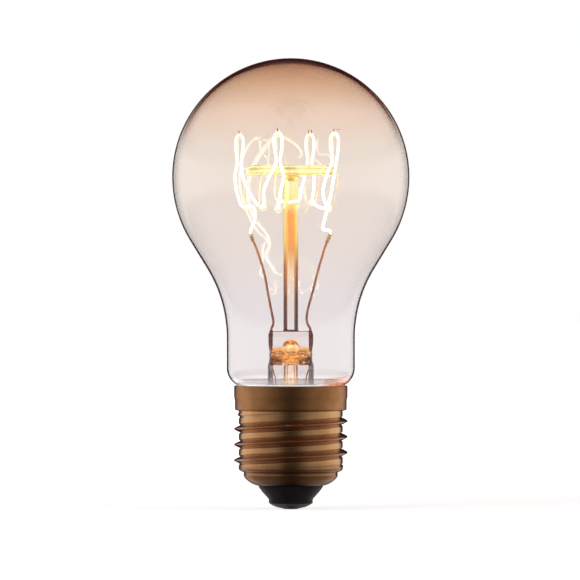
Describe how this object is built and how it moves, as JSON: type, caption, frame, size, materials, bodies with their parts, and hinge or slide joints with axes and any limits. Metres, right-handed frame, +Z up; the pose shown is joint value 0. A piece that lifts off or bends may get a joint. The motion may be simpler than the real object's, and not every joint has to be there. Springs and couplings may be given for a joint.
{
  "type": "incandescent bulb",
  "caption": "Clear round-headed lamp with a screw cap, an upright glass stem and a strand looped over wire hooks, which gives a warm light.",
  "frame": {"origin": "tip of the centre contact, on the lamp's axis", "axes": "+Z up the lamp's axis from the centre contact to the crown, -Y to the side that the picture shows, +X to the right of it"},
  "size_m": [0.0548, 0.0548, 0.1041],
  "materials": {
    "envelope_glass": "clear, faint amber and smoke tint",
    "stem_glass": "clear lead glass, amber where the filament lights it",
    "rod_glass": "clear, lit yellow to orange by the filament",
    "hook_wire": "dull molybdenum wire",
    "filament": "glowing wound strand",
    "clamp_metal": "dull nickel sleeve with a brown cast",
    "lead_copper": "bare copper-clad wire, slightly oxidised",
    "seal_wire": "red-brown oxidised wire",
    "cement": "matt",
    "shell_brass": "antique brass, satin",
    "black_glass": "glossy black glass",
    "contact_brass": "dark brown brass, satin",
    "contact_solder": "dull dark solder",
    "solder": "dull solder"
  },
  "bodies": {
    "root": {"glass_envelope": "envelope_glass", "stem_flare": "stem_glass", "exhaust_tube": "stem_glass", "support_rod": "rod_glass", "rod_disc": "rod_glass", "upper_hook_1": "hook_wire", "upper_hook_2": "hook_wire", "upper_hook_3": "hook_wire", "upper_hook_4": "hook_wire", "lower_hook_1": "hook_wire", "lower_hook_2": "hook_wire", "lower_hook_3": "hook_wire", "lower_hook_4": "hook_wire", "lower_hook_5": "hook_wire", "filament": "filament", "filament_clamp_left": "clamp_metal", "filament_clamp_right": "clamp_metal", "inner_lead_left": "lead_copper", "inner_lead_right": "lead_copper", "seal_wire_left": "seal_wire", "seal_wire_right": "seal_wire", "outer_lead_shell": "lead_copper", "outer_lead_contact": "lead_copper", "basing_cement": "cement", "screw_shell": "shell_brass", "cap_insulator": "black_glass", "contact_plate": "contact_brass", "contact_solder": "contact_solder", "side_solder": "solder"}
  },
  "joints": []
}
